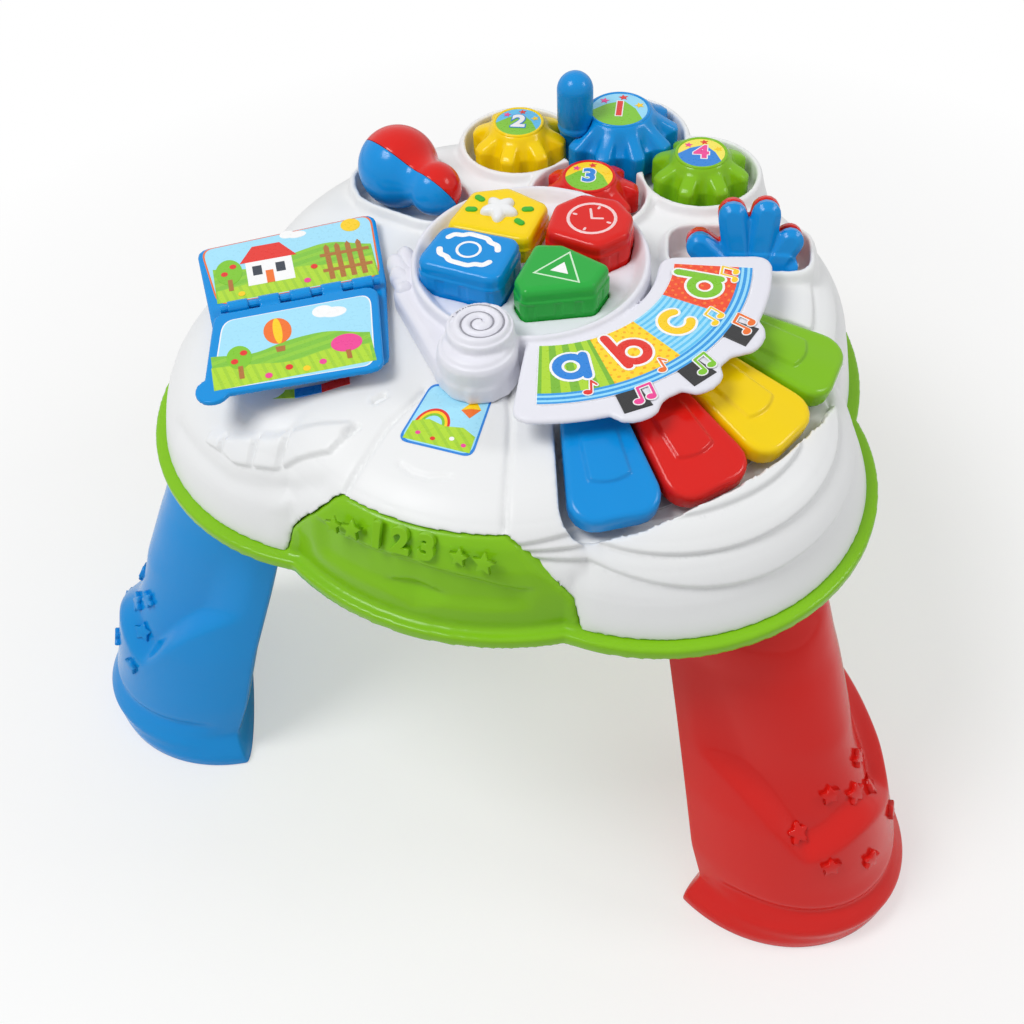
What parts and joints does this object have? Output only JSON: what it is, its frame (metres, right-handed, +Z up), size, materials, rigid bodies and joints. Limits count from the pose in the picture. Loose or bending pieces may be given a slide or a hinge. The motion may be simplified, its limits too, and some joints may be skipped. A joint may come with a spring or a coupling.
{
  "type": "baby activity table",
  "caption": "Rounded baby activity table on splayed petal legs, with piano keys, shape buttons, meshing gears, a turning book page and lift-out rattles.",
  "frame": {"origin": "middle of the three feet on the floor: centre of the bounding box at its bottom", "axes": "+Z up, -Y toward the front recess with the green pad, -X toward the book, +X toward the piano keys, +Y toward the gears and the rear leg"},
  "size_m": [0.5818, 0.5271, 0.3847],
  "materials": {
    "white_shell": "satin white moulded plastic",
    "pearl_console": "satin pale lilac-white plastic",
    "green_plastic": "glossy lime green plastic",
    "leaf_plastic": "glossy deep green plastic",
    "blue_plastic": "glossy blue plastic",
    "red_plastic": "glossy red plastic",
    "yellow_plastic": "glossy yellow plastic",
    "dark_plastic": "satin dark plastic",
    "steel": "plated steel",
    "circuit_board": "green board laminate",
    "grey_rubber": "grey silicone rubber"
  },
  "bodies": {
    "table": {"axle_blue": "white_shell", "axle_green": "white_shell", "axle_red": "white_shell", "axle_yellow": "white_shell", "base_tray": "green_plastic", "battery_1": "steel", "battery_2": "steel", "battery_3": "steel", "battery_door": "green_plastic", "book_base": "blue_plastic", "book_pin": "steel", "case_screw_1": "steel", "case_screw_2": "steel", "case_screw_3": "steel", "case_screw_4": "steel", "circuit_board": "circuit_board", "console": "pearl_console", "dome_clock": "grey_rubber", "dome_flower": "grey_rubber", "dome_square": "grey_rubber", "dome_triangle": "grey_rubber", "door_screw": "steel", "key_strip": "grey_rubber", "leg_back": "yellow_plastic", "leg_left": "blue_plastic", "leg_right": "red_plastic", "letter_panel": "blue_plastic", "speaker": "dark_plastic", "top_shell": "white_shell"},
    "key_blue": {"key_blue": "blue_plastic"},
    "key_red": {"key_red": "red_plastic"},
    "key_yellow": {"key_yellow": "yellow_plastic"},
    "key_green": {"key_green": "green_plastic"},
    "button_square": {"button_square": "blue_plastic"},
    "button_triangle": {"button_triangle": "leaf_plastic"},
    "button_flower": {"button_flower": "yellow_plastic"},
    "button_clock": {"button_clock": "red_plastic"},
    "blue_gear": {"gear_blue": "blue_plastic", "gear_knob": "blue_plastic"},
    "yellow_gear": {"gear_yellow": "yellow_plastic"},
    "green_gear": {"gear_green": "green_plastic"},
    "red_gear": {"gear_red": "red_plastic"},
    "page": {"book_page": "blue_plastic"},
    "maraca": {"maraca_front": "blue_plastic", "maraca_back": "red_plastic"},
    "castanet": {"castanet_front": "blue_plastic", "castanet_pin": "steel"},
    "castanet_clapper": {"castanet_back": "red_plastic"},
    "switch": {"power_switch": "dark_plastic"}
  },
  "joints": [
    {"name": "key_blue_press", "type": "hinge", "parent": "table", "child": "key_blue", "pos_m": [0.0683, -0.15737, 0.333], "axis": [0.8545, 0.5195, 0], "range_deg": [0, 3], "stiffness_Nm_per_rad": 0.8, "springref_deg": -2.86},
    {"name": "key_red_press", "type": "hinge", "parent": "table", "child": "key_red", "pos_m": [0.09646, -0.13349, 0.333], "axis": [0.6521, 0.7581, 0], "range_deg": [0, 3], "stiffness_Nm_per_rad": 0.8, "springref_deg": -2.86},
    {"name": "key_yellow_press", "type": "hinge", "parent": "table", "child": "key_yellow", "pos_m": [0.11586, -0.10208, 0.333], "axis": [0.3859, 0.9225, 0], "range_deg": [0, 3], "stiffness_Nm_per_rad": 0.8, "springref_deg": -2.86},
    {"name": "key_green_press", "type": "hinge", "parent": "table", "child": "key_green", "pos_m": [0.1246, -0.06621, 0.333], "axis": [0.0819, 0.9966, 0], "range_deg": [0, 3], "stiffness_Nm_per_rad": 0.8, "springref_deg": -2.86},
    {"name": "button_square_press", "type": "slide", "parent": "table", "child": "button_square", "axis": [0, 0, -1], "range_m": [0, 0.003], "stiffness_N_per_m": 400, "springref_m": -0.004, "deforming": ["dome_square"]},
    {"name": "button_triangle_press", "type": "slide", "parent": "table", "child": "button_triangle", "axis": [0, 0, -1], "range_m": [0, 0.003], "stiffness_N_per_m": 400, "springref_m": -0.004, "deforming": ["dome_triangle"]},
    {"name": "button_flower_press", "type": "slide", "parent": "table", "child": "button_flower", "axis": [0, 0, -1], "range_m": [0, 0.003], "stiffness_N_per_m": 400, "springref_m": -0.004, "deforming": ["dome_flower"]},
    {"name": "button_clock_press", "type": "slide", "parent": "table", "child": "button_clock", "axis": [0, 0, -1], "range_m": [0, 0.003], "stiffness_N_per_m": 400, "springref_m": -0.004, "deforming": ["dome_clock"]},
    {"name": "gear_blue_spin", "type": "hinge", "parent": "table", "child": "blue_gear", "pos_m": [0.008, 0.09296, 0.335], "axis": [0, 0, 1], "continuous": true},
    {"name": "gear_yellow_spin", "type": "hinge", "parent": "table", "child": "yellow_gear", "pos_m": [-0.05221, 0.069, 0.335], "axis": [0, 0, 1], "continuous": true},
    {"name": "gear_green_spin", "type": "hinge", "parent": "table", "child": "green_gear", "pos_m": [0.06821, 0.069, 0.335], "axis": [0, 0, 1], "continuous": true},
    {"name": "gear_red_spin", "type": "hinge", "parent": "table", "child": "red_gear", "pos_m": [0.008, 0.02816, 0.335], "axis": [0, 0, 1], "continuous": true},
    {"name": "page_turn", "type": "hinge", "parent": "table", "child": "page", "pos_m": [-0.119, -0.11854, 0.3416], "axis": [-0.8387, -0.5446, 0], "range_deg": [0, 176]},
    {"name": "maraca_lift", "type": "slide", "parent": "table", "child": "maraca", "axis": [0, 0, 1], "range_m": [0, 0.06]},
    {"name": "castanet_lift", "type": "slide", "parent": "table", "child": "castanet", "axis": [0, 0, 1], "range_m": [0, 0.06]},
    {"name": "castanet_clap", "type": "hinge", "parent": "castanet", "child": "castanet_clapper", "pos_m": [0.117, 0.00096, 0.3262], "axis": [0.9703, 0.2419, 0], "range_deg": [-12, 0], "stiffness_Nm_per_rad": 0.08},
    {"name": "power_slide", "type": "slide", "parent": "table", "child": "switch", "axis": [1, 0, 0], "range_m": [0, 0.005]}
  ],
  "couplings": [
    {"joint": "gear_yellow_spin", "follows": "gear_blue_spin", "ratio": -1.25},
    {"joint": "gear_green_spin", "follows": "gear_blue_spin", "ratio": -1.25},
    {"joint": "gear_red_spin", "follows": "gear_blue_spin", "ratio": -1.25}
  ]
}
